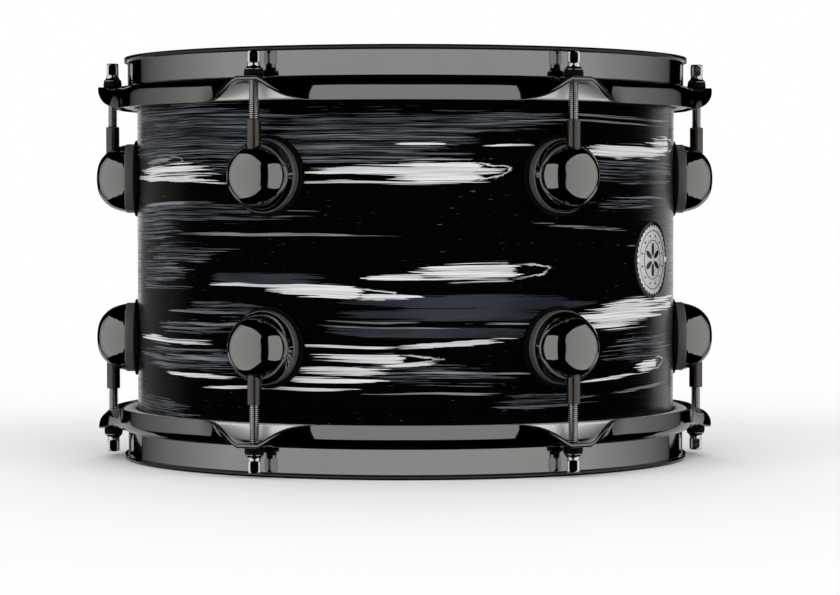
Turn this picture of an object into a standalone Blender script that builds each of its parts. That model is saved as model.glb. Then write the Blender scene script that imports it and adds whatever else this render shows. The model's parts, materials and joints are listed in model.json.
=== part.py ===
"""A 12 x 8 inch rack tom with six round turret lugs for each head.

Frame: +Z up, the drum's axis on Z, the bottom rim's flat face on Z = 0. The lugs stand every 60 degrees
from +X, so -Y, the front, looks between two of them. Everything is in metres.

The drum is the same above and below its middle, so each piece is modelled for the batter (upper) side, with
its height measured from the middle, and turned over for the resonant side.
"""

import math

import bmesh
import bpy
from mathutils import Matrix, Vector

# ---------------------------------------------------------------- driving dimensions
INCH = 0.0254
SHELL_R = 11.875 * INCH / 2  # outside of the finish ply: a 12 inch shell is 11 7/8 inches across
SHELL_DEPTH = 8 * INCH
RIM_RISE = 0.0100  # how far the hoop's rim stands above the bearing edge
LUGS_PER_HEAD = 6
ROD_CIRCLE_R = 0.1649
LUG_HEIGHT = 0.0446  # lug centre to the drum's middle
GAP = 0.0003  # between two pieces that touch

# ---------------------------------------------------------------- shell, finish ply and vent
FINISH_THICKNESS = 0.0008
PLY_THICKNESS = 0.0054
PLY_R = SHELL_R - FINISH_THICKNESS - GAP
PLY_INNER_R = PLY_R - PLY_THICKNESS
EDGE_TOP = SHELL_DEPTH / 2  # bearing edge's crest, above the middle
FINISH_TOP = EDGE_TOP - 0.0026
CREST_INSET = 0.0013
VENT_HOLE_R = 0.0065
SCREW_HOLE_R = 0.0028

# ---------------------------------------------------------------- hoop
SHEET = 0.0023
WALL_R = SHELL_R + 0.00415  # middle of the sheet
RIM_TOP = EDGE_TOP + RIM_RISE
RIM_FLANGE_R = WALL_R + 0.0030
RIM_BEND = 0.0019
LEDGE_MID = RIM_TOP - 0.01705
WALL_BEND = 0.0026
LEDGE_CORNER_R = WALL_R + 0.0064
SKIRT_BEND = 0.0029
SKIRT_LENGTH = 0.0113
EAR_FLAT = 0.0065  # half width of the flat tab
EAR_REACH = 0.038  # half width of the whole sweep from skirt to ear
EAR_SWEEP_POWER = 1.6
EAR_HOLE_R = 0.0033
LEDGE_TOP = LEDGE_MID + SHEET / 2
LEDGE_BOTTOM = LEDGE_MID - SHEET / 2

# ---------------------------------------------------------------- drumhead
FILM = 0.0005
FILM_BOTTOM = EDGE_TOP + GAP
FLESH_HOOP_INNER_R = SHELL_R + 0.0012
FLESH_HOOP_OUTER_R = SHELL_R + 0.0075
FLESH_HOOP_TOP = LEDGE_BOTTOM - GAP
FLESH_HOOP_HEIGHT = 0.0091

# ---------------------------------------------------------------- lug, receiver, rod and washer
LUG_R = 0.01935
LUG_GASKET_R = 0.02145
LUG_GASKET_THICKNESS = 0.0015
LUG_COLLAR = 0.0062  # shell to the crease where the dome starts
LUG_DOME_R = 0.0189
LUG_REACH = 0.0231  # shell to the tip of the dome
LUG_DOME_POWERS = (1.8, 2.5)
LUG_BOSS_R = 0.0055
LUG_CAVITY_R = 0.0166
LUG_CAVITY_DEPTH = 0.0078
RECEIVER_R = 0.0037
RECEIVER_BORE_R = 0.00275
RECEIVER_TOP = 0.0735
RECEIVER_BOTTOM = 0.0406
ROD_R = 0.00245
ROD_LENGTH = 0.046
ROD_COLLAR_R = 0.0047
ROD_COLLAR = 0.0014
ROD_KEY_WIDTH = 0.25 * INCH
ROD_KEY_HEIGHT = 0.0083
WASHER_R = 0.00515
WASHER_BORE_R = 0.0028
WASHER_THICKNESS = 0.0032
WASHER_BOTTOM = LEDGE_TOP + GAP
ROD_SEAT = WASHER_BOTTOM + WASHER_THICKNESS + GAP

# ---------------------------------------------------------------- badge
BADGE_R = 0.02075
BADGE_THICKNESS = 0.0010
BADGE_ANGLE = math.radians(-30)
VENT_ANGLE = BADGE_ANGLE + math.pi
PIN_OFFSET = 0.0176  # badge centre to a pin
PIN_HEAD_R = 0.0016
PIN_HEAD_HEIGHT = 0.0008
PIN_SHANK_R = 0.0009
PIN_SHANK_LENGTH = 0.0050

# ---------------------------------------------------------------- mesh resolution
ROUND_STEPS = 48
LUG_STEPS = 12
SMALL_STEPS = 10
CURVED_CUT_STEPS = 72
EAR_STATIONS = (0, 2.4, 6, 12, 20)  # degrees from an ear's centre, each side of it

MIDDLE_Z = RIM_TOP  # the bottom rim lies on Z = 0
SIDES = {"batter": 1, "resonant": -1}


# ---------------------------------------------------------------- tools
def clear_scene():
    for obj in list(bpy.data.objects):
        bpy.data.objects.remove(obj, do_unlink=True)


def make_material(name, colour, roughness, metallic, alpha=1.0):
    material = bpy.data.materials.new(name)
    material.use_nodes = True
    shader = material.node_tree.nodes["Principled BSDF"]
    shader.inputs["Base Color"].default_value = (*colour, 1.0)
    shader.inputs["Roughness"].default_value = roughness
    shader.inputs["Metallic"].default_value = metallic
    shader.inputs["Alpha"].default_value = alpha
    return material


def mesh_from(bm, name):
    bmesh.ops.recalc_face_normals(bm, faces=bm.faces)
    mesh = bpy.data.meshes.new(name)
    bm.to_mesh(mesh)
    bm.free()
    mesh.shade_smooth()
    mesh.set_sharp_from_angle(angle=math.radians(35))
    return mesh


def spin_outline(name, outline, steps, axis="Z", closed=True):
    """A body turned from an outline of (radius, distance along the axis).

    A closed outline makes a ring. An open one starts and ends on the axis.
    """
    bm = bmesh.new()
    if axis == "Z":
        points = [Vector((r, 0, along)) for r, along in outline]
        spin_axis = (0, 0, 1)
    else:
        points = [Vector((along, 0, r)) for r, along in outline]
        spin_axis = (1, 0, 0)
    verts = [bm.verts.new(p) for p in points]
    edges = [bm.edges.new(pair) for pair in zip(verts, verts[1:])]
    if closed:
        edges.append(bm.edges.new((verts[-1], verts[0])))
    bmesh.ops.spin(
        bm, geom=verts + edges, cent=(0, 0, 0), axis=spin_axis, angle=2 * math.pi, steps=steps, use_merge=True
    )
    bmesh.ops.remove_doubles(bm, verts=bm.verts, dist=1e-6)
    return mesh_from(bm, name)


def cylinder_mesh(name, radius, low, high, steps, centre=(0, 0), turn=None):
    """A closed cylinder along Z from low to high, turned by a matrix if one is given."""
    bm = bmesh.new()
    middle = Matrix.Translation((centre[0], centre[1], (low + high) / 2))
    bmesh.ops.create_cone(
        bm,
        cap_ends=True,
        segments=steps,
        radius1=radius,
        radius2=radius,
        depth=high - low,
        matrix=turn @ middle if turn else middle,
    )
    return mesh_from(bm, name)


def new_object(name, mesh, material=None, parent=None):
    obj = bpy.data.objects.new(name, mesh)
    bpy.context.scene.collection.objects.link(obj)
    if material:
        mesh.materials.clear()
        mesh.materials.append(material)
    obj.parent = parent
    return obj


def new_empty(name, location):
    empty = bpy.data.objects.new(name, None)
    empty.location = location
    bpy.context.scene.collection.objects.link(empty)
    return empty


def new_cutter(name, mesh):
    cutter = new_object(name, mesh)
    cutter.hide_render = True
    cutter.display_type = "WIRE"
    return cutter


def add_boolean(obj, cutter, operation="DIFFERENCE"):
    modifier = obj.modifiers.new(f"{operation.lower()}_{cutter.name}", "BOOLEAN")
    modifier.operation = operation
    modifier.object = cutter


def carved(name, mesh, steps):
    """The mesh after Booleans with (cutter mesh, operation) pairs, as a new mesh that copies can share."""
    body = new_object(f"{name}_blank", mesh)
    cutters = []
    for number, (cutter_mesh, operation) in enumerate(steps):
        cutters.append(new_cutter(f"{name}_tool_{number}", cutter_mesh))
        add_boolean(body, cutters[-1], operation)
    bpy.context.view_layer.update()
    graph = bpy.context.evaluated_depsgraph_get()
    result = bpy.data.meshes.new_from_object(body.evaluated_get(graph))
    result.name = name
    for helper in (body, *cutters):
        bpy.data.objects.remove(helper, do_unlink=True)
    return result


def radial_cylinder(name, radius, inner, outer, angle, height, steps):
    """A cylinder that points away from the drum's axis, between two distances from it."""
    turn = (
        Matrix.Translation((0, 0, height))
        @ Matrix.Rotation(angle, 4, "Z")
        @ Matrix.Rotation(math.pi / 2, 4, "Y")
    )
    return cylinder_mesh(name, radius, inner, outer, steps, turn=turn)


def joined(name, meshes):
    """One mesh that holds several separate cutters."""
    bm = bmesh.new()
    for mesh in meshes:
        bm.from_mesh(mesh)
    return mesh_from(bm, name)


def lug_angles():
    return [math.radians(-60 + 360 / LUGS_PER_HEAD * n) for n in range(LUGS_PER_HEAD)]


def place(obj, side, angle=0.0, radius=0.0, height=0.0):
    """Puts a piece at an angle round the drum and a height from its middle, turned over below it."""
    world = Matrix.Translation(
        (radius * math.cos(angle), radius * math.sin(angle), MIDDLE_Z + side * height)
    )
    world @= Matrix.Rotation(angle, 4, "Z")
    if side < 0:
        world @= Matrix.Rotation(math.pi, 4, "X")
    parent = obj.parent
    if parent:
        world = Matrix.Translation(parent.location).inverted() @ world
    obj.location = world.to_translation()
    obj.rotation_euler = world.to_euler()


# ---------------------------------------------------------------- shell group
def ply_outline():
    """Inside 45 degree bearing edges with a small round-over outside, at both ends."""
    crest_r = PLY_R - CREST_INSET
    slope = crest_r - PLY_INNER_R
    upper = [
        (PLY_R, EDGE_TOP - 0.0024),
        (PLY_R - 0.0006, EDGE_TOP - 0.0003),
        (crest_r, EDGE_TOP),
        (PLY_INNER_R, EDGE_TOP - slope),
    ]
    return upper + [(r, -z) for r, z in reversed(upper)]


def shell_hole_cutters():
    """Holes for the lug screws, the badge pins and the vent, as meshes centred on the drum's middle."""
    inner, outer = PLY_INNER_R - 0.01, SHELL_R + 0.01
    cutters = [
        radial_cylinder("screw_hole", SCREW_HOLE_R, inner, outer, angle, side * LUG_HEIGHT, 6)
        for angle in lug_angles()
        for side in SIDES.values()
    ]
    cutters.append(radial_cylinder("vent_hole", VENT_HOLE_R, inner, outer, VENT_ANGLE, 0, 16))
    pin_depth = SHELL_R - PIN_SHANK_LENGTH
    for angle in pin_angles():
        cutters.append(radial_cylinder("pin_hole", PIN_SHANK_R + GAP, pin_depth, outer, angle, 0, 6))
    return joined("shell_holes", cutters)


def pin_angles():
    half = math.asin(PIN_OFFSET / SHELL_R)
    return [BADGE_ANGLE - half, BADGE_ANGLE + half]


def build_shell(materials):
    holes = new_cutter("shell_holes", shell_hole_cutters())
    holes.location.z = MIDDLE_Z
    ply = new_object("shell", spin_outline("shell", ply_outline(), ROUND_STEPS), materials["maple"])
    finish_outline = [
        (SHELL_R, FINISH_TOP),
        (SHELL_R - FINISH_THICKNESS, FINISH_TOP),
        (SHELL_R - FINISH_THICKNESS, -FINISH_TOP),
        (SHELL_R, -FINISH_TOP),
    ]
    finish_mesh = spin_outline("finish_ply", finish_outline, ROUND_STEPS)
    finish = new_object("finish_ply", finish_mesh, materials["finish"])
    for obj in (ply, finish):
        obj.location.z = MIDDLE_Z
        add_boolean(obj, holes)


def build_vent(materials):
    """An eyelet with a flange outside and a flared ring inside, both clear of the curved walls."""
    tube_r = VENT_HOLE_R - GAP
    outside = SHELL_R + GAP
    inside = PLY_INNER_R - GAP - 0.0003
    outline = [
        (tube_r, inside),
        (tube_r, outside),
        (0.0090, outside),
        (0.0086, outside + 0.0009),
        (0.0062, outside + 0.0013),
        (0.0048, outside + 0.0007),
        (0.0048, inside - 0.0010),
        (0.0082, inside - 0.0010),
        (0.0082, inside),
    ]
    mesh = spin_outline("vent_eyelet", outline, 16, axis="X")
    place(new_object("vent_eyelet", mesh, materials["black_nickel"]), 1, VENT_ANGLE)


def curved_skin(name, inner, outer, half_height):
    """A ring of wall that follows the shell, its flats clear of the inner radius."""
    inner = inner / math.cos(math.pi / CURVED_CUT_STEPS)
    outline = [(outer, half_height), (inner, half_height), (inner, -half_height), (outer, -half_height)]
    return spin_outline(name, outline, CURVED_CUT_STEPS)


def build_badge(materials):
    skin = curved_skin("badge_skin", SHELL_R + GAP, SHELL_R + GAP + BADGE_THICKNESS, 2 * BADGE_R)
    blank = radial_cylinder("badge", BADGE_R, SHELL_R - 0.01, SHELL_R + 0.01, 0, 0, 32)
    pins = [
        radial_cylinder("pin", PIN_SHANK_R + GAP, SHELL_R - 0.01, SHELL_R + 0.01, angle - BADGE_ANGLE, 0, 6)
        for angle in pin_angles()
    ]
    mesh = carved("badge", blank, [(skin, "INTERSECT"), (joined("badge_pin_holes", pins), "DIFFERENCE")])
    place(new_object("badge", mesh, materials["badge"]), 1, BADGE_ANGLE)
    seat = SHELL_R + BADGE_THICKNESS + 2 * GAP
    outline = [
        (0, seat - PIN_SHANK_LENGTH),
        (PIN_SHANK_R, seat - PIN_SHANK_LENGTH + 0.0006),
        (PIN_SHANK_R, seat),
        (PIN_HEAD_R, seat),
        (PIN_HEAD_R * 0.75, seat + PIN_HEAD_HEIGHT * 0.8),
        (0, seat + PIN_HEAD_HEIGHT),
    ]
    pin_mesh = spin_outline("badge_pin", outline, 8, axis="X", closed=False)
    for side_name, angle in zip(("left", "right"), pin_angles()):
        place(new_object(f"badge_pin_{side_name}", pin_mesh, materials["chrome"]), 1, angle)


# ---------------------------------------------------------------- hoop
def skirt_angle(distance):
    """How far the skirt hangs below level at a distance along the hoop from the nearest ear's centre."""
    share = (distance - EAR_FLAT) / (EAR_REACH - EAR_FLAT)
    share = min(max(share, 0.0), 1.0)
    return math.pi / 2 * (1 - (1 - share) ** EAR_SWEEP_POWER)


def hoop_centreline(hang):
    """The middle of the hoop's sheet, rim to edge, as (radius, height), with the skirt hanging by an angle."""
    rim_mid = RIM_TOP - SHEET / 2
    half_bend = math.sqrt(0.5)
    corner = Vector((LEDGE_CORNER_R, LEDGE_MID))
    out = Vector((1, 0))
    down = Vector((math.cos(hang), -math.sin(hang)))
    start, end = corner - SKIRT_BEND * out, corner + SKIRT_BEND * down
    return [
        Vector((RIM_FLANGE_R, rim_mid)),
        Vector((WALL_R + RIM_BEND, rim_mid)),
        Vector((WALL_R, rim_mid - RIM_BEND)),
        Vector((WALL_R, LEDGE_MID + WALL_BEND)),
        Vector((WALL_R + WALL_BEND * (1 - half_bend), LEDGE_MID + WALL_BEND * (1 - half_bend))),
        start,
        (start + 2 * corner + end) / 4,
        end,
        corner + SKIRT_LENGTH * down,
    ]


def thickened(line, thickness):
    """A closed loop of points round a line, half the thickness to each side of it."""
    left, right = [], []
    for n, point in enumerate(line):
        before = (point - line[n - 1]).normalized() if n else None
        after = (line[n + 1] - point).normalized() if n + 1 < len(line) else None
        along = ((before or after) + (after or before)).normalized()
        normal = Vector((-along.y, along.x))
        spread = thickness / 2 / max(normal.dot(Vector((-(after or before).y, (after or before).x))), 0.5)
        left.append(point + normal * spread)
        right.append(point - normal * spread)
    return left + right[::-1]


def hoop_angles():
    """Angles round the hoop, closer together where an ear sweeps out of the skirt."""
    pitch = 360 / LUGS_PER_HEAD
    offsets = sorted({*EAR_STATIONS, *(-a for a in EAR_STATIONS), pitch / 2})
    stations = [(pitch * ear + offset, abs(offset)) for ear in range(LUGS_PER_HEAD) for offset in offsets]
    return [(math.radians(angle), math.radians(from_ear)) for angle, from_ear in stations]


def hoop_mesh():
    bm = bmesh.new()
    loops = []
    for angle, from_ear in hoop_angles():
        section = thickened(hoop_centreline(skirt_angle(from_ear * LEDGE_CORNER_R)), SHEET)
        loops.append([bm.verts.new((p.x * math.cos(angle), p.x * math.sin(angle), p.y)) for p in section])
    for loop, following in zip(loops, loops[1:] + loops[:1]):
        for n in range(len(loop)):
            bm.faces.new((loop[n], loop[n - 1], following[n - 1], following[n]))
    return mesh_from(bm, "hoop")


def build_hoops(materials, sides):
    holes = [
        cylinder_mesh(
            "ear_hole",
            EAR_HOLE_R,
            LEDGE_BOTTOM - 0.01,
            LEDGE_TOP + 0.01,
            12,
            (ROD_CIRCLE_R * math.cos(angle), ROD_CIRCLE_R * math.sin(angle)),
        )
        for angle in lug_angles()
    ]
    mesh = carved("hoop", hoop_mesh(), [(joined("ear_holes", holes), "DIFFERENCE")])
    for side_name, side in SIDES.items():
        hoop = new_object(f"{side_name}_hoop", mesh, materials["black_nickel"], sides[side_name])
        place(hoop, side)


# ---------------------------------------------------------------- drumhead
def film_outline():
    """A flat skin that turns down over the bearing edge to the flesh hoop, outside the finish ply."""
    shoulder = [
        (PLY_R - CREST_INSET - 0.0002, FILM_BOTTOM),
        (SHELL_R - 0.0014, FILM_BOTTOM - 0.00015),
        (SHELL_R + 0.00045, FINISH_TOP + 0.0006),
        (SHELL_R + 0.0009, FLESH_HOOP_TOP + GAP),
    ]
    outer = [
        (shoulder[0][0] + 0.0002, FILM_BOTTOM + FILM),
        (shoulder[1][0] + 0.0003, FILM_BOTTOM + FILM * 0.6),
        (shoulder[2][0] + FILM, FINISH_TOP + 0.0008),
        (shoulder[3][0] + FILM, FLESH_HOOP_TOP + GAP),
    ]
    return [(0, FILM_BOTTOM), *shoulder, *reversed(outer), (0, FILM_BOTTOM + FILM)]


def build_heads(materials, sides):
    low = FLESH_HOOP_TOP - FLESH_HOOP_HEIGHT
    flesh_outline = [
        (FLESH_HOOP_INNER_R, FLESH_HOOP_TOP),
        (FLESH_HOOP_INNER_R, low),
        (FLESH_HOOP_OUTER_R, low),
        (FLESH_HOOP_OUTER_R, FLESH_HOOP_TOP),
    ]
    for side_name, side in SIDES.items():
        film_mesh = spin_outline("film", film_outline(), ROUND_STEPS, closed=False)
        film = new_object(f"{side_name}_film", film_mesh, materials[f"{side_name}_film"], sides[side_name])
        place(film, side)
        flesh_mesh = spin_outline("flesh_hoop", flesh_outline, ROUND_STEPS)
        flesh = new_object(f"{side_name}_flesh_hoop", flesh_mesh, materials["aluminium"], sides[side_name])
        place(flesh, side)


# ---------------------------------------------------------------- lugs and tuning hardware
def dome_outline(count):
    """The dome of a lug, from its crease to its tip: a superellipse, blunter than an ellipse at the tip."""
    along_power, round_power = LUG_DOME_POWERS
    points = []
    for n in range(count + 1):
        share = math.sin(math.pi / 2 * n / count)
        radius = LUG_DOME_R * max(1 - share**along_power, 0.0) ** (1 / round_power)
        points.append((radius, SHELL_R + LUG_COLLAR + share * (LUG_REACH - LUG_COLLAR)))
    return points


def lug_mesh():
    """A hollow-backed casting on its gasket, cut to the shell's curve and bored for the receiver."""
    back = SHELL_R - 0.0030
    gasket = SHELL_R + LUG_GASKET_THICKNESS
    crease = SHELL_R + LUG_COLLAR
    outline = [
        (0, back),
        (LUG_BOSS_R, back),
        (LUG_BOSS_R, SHELL_R + LUG_CAVITY_DEPTH),
        (LUG_CAVITY_R, SHELL_R + LUG_CAVITY_DEPTH),
        (LUG_CAVITY_R, back),
        (LUG_GASKET_R, back),
        (LUG_GASKET_R, gasket),
        (LUG_R, gasket),
        (LUG_R, crease - 0.0003),
        *dome_outline(5),
    ]
    blank = spin_outline("lug", outline, LUG_STEPS, axis="X", closed=False)
    shell_cut_r = (SHELL_R + GAP) / math.cos(math.pi / CURVED_CUT_STEPS)
    shell_cut = cylinder_mesh("shell_cut", shell_cut_r, -0.03, 0.03, CURVED_CUT_STEPS)
    bore_bottom = RECEIVER_BOTTOM - GAP - LUG_HEIGHT
    bore = cylinder_mesh("bore", RECEIVER_R + GAP, bore_bottom, 0.03, SMALL_STEPS, (ROD_CIRCLE_R, 0))
    return carved("lug", blank, [(shell_cut, "DIFFERENCE"), (bore, "DIFFERENCE")])


def receiver_mesh():
    outline = [
        (RECEIVER_R, RECEIVER_TOP),
        (RECEIVER_BORE_R, RECEIVER_TOP),
        (RECEIVER_BORE_R, RECEIVER_BOTTOM),
        (RECEIVER_R, RECEIVER_BOTTOM),
    ]
    return spin_outline("receiver", outline, SMALL_STEPS)


def washer_mesh():
    outline = [
        (WASHER_R, WASHER_THICKNESS),
        (WASHER_BORE_R, WASHER_THICKNESS),
        (WASHER_BORE_R, 0),
        (WASHER_R, 0),
    ]
    return spin_outline("washer", outline, SMALL_STEPS)


def key_head_mesh():
    """The square head for a drum key, from inside the collar up, with its corners and top eased."""
    bm = bmesh.new()
    low = ROD_COLLAR / 2
    high = ROD_COLLAR + ROD_KEY_HEIGHT
    size = Matrix.Diagonal((ROD_KEY_WIDTH, ROD_KEY_WIDTH, high - low, 1))
    bmesh.ops.create_cube(bm, size=1, matrix=Matrix.Translation((0, 0, (low + high) / 2)) @ size)
    top_edges = [e for e in bm.edges if all(v.co.z > low + 1e-6 for v in e.verts)]
    bmesh.ops.bevel(bm, geom=top_edges, offset=0.0012, segments=1, affect="EDGES")
    return mesh_from(bm, "key_head")


def rod_mesh():
    """A tension rod with its origin on its axis, at the underside of its collar."""
    outline = [
        (0, -ROD_LENGTH),
        (ROD_R - 0.0008, -ROD_LENGTH),
        (ROD_R, -ROD_LENGTH + 0.0010),
        (ROD_R, 0),
        (ROD_COLLAR_R, 0),
        (ROD_COLLAR_R, ROD_COLLAR),
        (0, ROD_COLLAR),
    ]
    shaft = spin_outline("shaft", outline, SMALL_STEPS, closed=False)
    return carved("tension_rod", shaft, [(key_head_mesh(), "UNION")])


def build_tuning(materials, sides):
    lug, receiver, washer, rod = lug_mesh(), receiver_mesh(), washer_mesh(), rod_mesh()
    for side_name, side in SIDES.items():
        for number, angle in enumerate(lug_angles(), 1):
            piece = new_object(f"{side_name}_lug_{number}", lug, materials["black_nickel"])
            place(piece, side, angle, height=LUG_HEIGHT)
            piece = new_object(f"{side_name}_receiver_{number}", receiver, materials["receiver"])
            place(piece, side, angle, ROD_CIRCLE_R)
            piece = new_object(f"{side_name}_washer_{number}", washer, materials["washer"], sides[side_name])
            place(piece, side, angle, ROD_CIRCLE_R, WASHER_BOTTOM)
            piece = new_object(f"{side_name}_tension_rod_{number}", rod, materials["chrome"], sides[side_name])
            place(piece, side, angle, ROD_CIRCLE_R, ROD_SEAT)


# ---------------------------------------------------------------- the drum
def build_materials():
    return {
        "maple": make_material("maple", (0.62, 0.42, 0.24), 0.55, 0.0),
        "finish": make_material("finish", (0.02, 0.02, 0.022), 0.12, 0.0),
        "black_nickel": make_material("black_nickel", (0.14, 0.135, 0.13), 0.10, 1.0),
        "chrome": make_material("chrome", (0.80, 0.80, 0.81), 0.08, 1.0),
        "receiver": make_material("receiver", (0.26, 0.235, 0.215), 0.28, 1.0),
        "washer": make_material("washer", (0.015, 0.015, 0.015), 0.5, 0.0),
        "aluminium": make_material("aluminium", (0.75, 0.75, 0.76), 0.25, 1.0),
        "batter_film": make_material("batter_film", (0.86, 0.86, 0.84), 0.55, 0.0),
        "resonant_film": make_material("resonant_film", (0.85, 0.87, 0.88), 0.08, 0.0, alpha=0.35),
        "badge": make_material("badge", (0.60, 0.60, 0.61), 0.30, 1.0),
    }


def main():
    clear_scene()
    materials = build_materials()
    sides = {name: new_empty(f"{name}_side", (0, 0, MIDDLE_Z)) for name in SIDES}
    build_shell(materials)
    build_vent(materials)
    build_badge(materials)
    build_hoops(materials, sides)
    build_heads(materials, sides)
    build_tuning(materials, sides)


main()
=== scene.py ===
"""The looks of the rack tom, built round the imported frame.

Everything is in metres in the frame's own axes: +Z up along the drum's axis, -Y the front. The drum is the same
above and below its middle, so most pieces are made once for the batter side, about the drum's middle, and turned
over for the resonant side.
"""

import json
import math
import random

import bmesh
import bpy
from mathutils import Matrix, Vector

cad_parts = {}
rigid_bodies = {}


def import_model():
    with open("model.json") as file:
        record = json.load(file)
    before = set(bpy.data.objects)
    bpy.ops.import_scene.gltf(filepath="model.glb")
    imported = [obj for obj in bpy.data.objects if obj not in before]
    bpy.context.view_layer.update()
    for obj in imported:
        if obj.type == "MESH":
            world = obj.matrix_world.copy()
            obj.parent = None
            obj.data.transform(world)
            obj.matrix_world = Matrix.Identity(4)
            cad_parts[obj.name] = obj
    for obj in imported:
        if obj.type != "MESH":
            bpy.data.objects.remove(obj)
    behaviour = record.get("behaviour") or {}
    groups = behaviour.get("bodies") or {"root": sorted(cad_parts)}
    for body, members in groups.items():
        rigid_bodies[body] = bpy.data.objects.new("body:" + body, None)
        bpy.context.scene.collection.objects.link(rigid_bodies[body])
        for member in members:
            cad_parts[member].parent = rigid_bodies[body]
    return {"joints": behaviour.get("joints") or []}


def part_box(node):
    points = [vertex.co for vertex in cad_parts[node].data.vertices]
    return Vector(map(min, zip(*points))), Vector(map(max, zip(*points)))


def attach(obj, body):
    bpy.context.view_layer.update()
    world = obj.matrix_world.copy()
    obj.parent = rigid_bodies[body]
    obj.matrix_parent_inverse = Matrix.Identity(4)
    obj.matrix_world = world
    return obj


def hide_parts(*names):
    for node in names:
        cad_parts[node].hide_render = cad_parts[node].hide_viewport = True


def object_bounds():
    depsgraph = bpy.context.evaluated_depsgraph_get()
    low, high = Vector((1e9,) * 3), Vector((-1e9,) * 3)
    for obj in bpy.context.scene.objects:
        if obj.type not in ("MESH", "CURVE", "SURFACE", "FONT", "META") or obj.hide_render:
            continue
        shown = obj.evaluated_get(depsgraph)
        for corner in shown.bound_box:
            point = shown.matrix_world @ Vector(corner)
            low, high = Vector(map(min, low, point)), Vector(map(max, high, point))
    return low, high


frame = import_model()
CAD_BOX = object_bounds()

# ---------------------------------------------------------------- places, from the frame
MIDDLE = CAD_BOX[1].z / 2
RIM_TOP = CAD_BOX[1].z - MIDDLE
SHELL_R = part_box("finish_ply")[1].x
FINISH_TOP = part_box("finish_ply")[1].z - MIDDLE
EDGE_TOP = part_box("shell")[1].z - MIDDLE
PLY_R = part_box("shell")[1].x
LUG_HEIGHT = sum(corner.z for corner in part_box("batter_lug_1")) / 2 - MIDDLE
LUG_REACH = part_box("batter_lug_2")[1].x - SHELL_R
RECEIVER_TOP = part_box("batter_receiver_1")[1].z - MIDDLE
ROD_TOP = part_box("batter_tension_rod_1")[1].z - MIDDLE
ROD_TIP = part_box("batter_tension_rod_1")[0].z - MIDDLE
WASHER_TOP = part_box("batter_washer_1")[1].z - MIDDLE
WASHER_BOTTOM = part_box("batter_washer_1")[0].z - MIDDLE
FLESH_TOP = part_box("batter_flesh_hoop")[1].z - MIDDLE
FLESH_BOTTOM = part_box("batter_flesh_hoop")[0].z - MIDDLE
ROD_PLACES = [Vector(j["pos_m"]) for j in frame["joints"] if j["name"].startswith("batter_rod_")]
ROD_CIRCLE = ROD_PLACES[0].xy.length
ROD_ANGLES = [math.atan2(p.y, p.x) for p in ROD_PLACES]
SIDES = {"batter": 1, "resonant": -1}
BADGE_ANGLE = math.radians(-30)
VENT_ANGLE = BADGE_ANGLE + math.pi

MM = 0.001
INCH = 0.0254
THREAD_PITCH = INCH / 24


# ---------------------------------------------------------------- mesh tools
def new_mesh_object(name, bm, material, sharp=35):
    bmesh.ops.recalc_face_normals(bm, faces=bm.faces)
    mesh = bpy.data.meshes.new(name)
    bm.to_mesh(mesh)
    bm.free()
    mesh.shade_smooth()
    mesh.set_sharp_from_angle(angle=math.radians(sharp))
    mesh.materials.append(material)
    obj = bpy.data.objects.new(name, mesh)
    bpy.context.scene.collection.objects.link(obj)
    return obj


def arc_corner(before, corner, after, radius, steps):
    """Points of a fillet at a corner between two straight runs."""
    to_before, to_after = (before - corner).normalized(), (after - corner).normalized()
    half = to_before.angle(to_after) / 2
    if radius <= 0 or half > math.radians(89.5):
        return [corner]
    setback = min(radius / math.tan(half), (before - corner).length * 0.49, (after - corner).length * 0.49)
    radius = setback * math.tan(half)
    centre = corner + (to_before + to_after).normalized() * (radius / math.sin(half))
    start, end = corner + to_before * setback - centre, corner + to_after * setback - centre
    sweep = start.angle_signed(end)
    return [centre + Matrix.Rotation(-sweep * n / steps, 2) @ start for n in range(steps + 1)]


def filleted(points, closed=True, steps=4):
    """An outline of (radius, height, fillet) points with every corner rounded by its own fillet."""
    places = [Vector(p[:2]) for p in points]
    fillets = [p[2] if len(p) > 2 else 0.0 for p in points]
    out = []
    for n, place in enumerate(places):
        if not closed and n in (0, len(places) - 1):
            out.append(place)
            continue
        out += arc_corner(places[n - 1], place, places[(n + 1) % len(places)], fillets[n], steps)
    return out


def skin(rings, close_along=True, close_round=True):
    """A mesh from rings of points: close_round joins each ring's ends, close_along joins last ring to first."""
    bm = bmesh.new()
    loops = [[bm.verts.new(p) for p in ring] for ring in rings]
    pairs = list(zip(loops, loops[1:])) + ([(loops[-1], loops[0])] if close_along else [])
    for one, other in pairs:
        for n in range(0 if close_round else 1, len(one)):
            bm.faces.new((one[n], one[n - 1], other[n - 1], other[n]))
    return bm


def lathe(outline, steps, axis="Z", closed=True):
    """A turned body. The outline holds (radius, distance along the axis); an open one ends on the axis."""
    rings = []
    for n in range(steps):
        angle = 2 * math.pi * n / steps
        c, s = math.cos(angle), math.sin(angle)
        if axis == "Z":
            rings.append([(p[0] * c, p[0] * s, p[1]) for p in outline])
        else:
            rings.append([(p[1], p[0] * c, p[0] * s) for p in outline])
    bm = skin(rings, close_round=closed)
    bmesh.ops.remove_doubles(bm, verts=bm.verts, dist=1e-7)
    return bm


def cylinder_between(radius, low, high, steps, turn):
    """A closed cylinder along Z, turned by a matrix."""
    bm = bmesh.new()
    matrix = turn @ Matrix.Translation((0, 0, (low + high) / 2))
    bmesh.ops.create_cone(
        bm, cap_ends=True, segments=steps, radius1=radius, radius2=radius, depth=high - low, matrix=matrix
    )
    return bm


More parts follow.
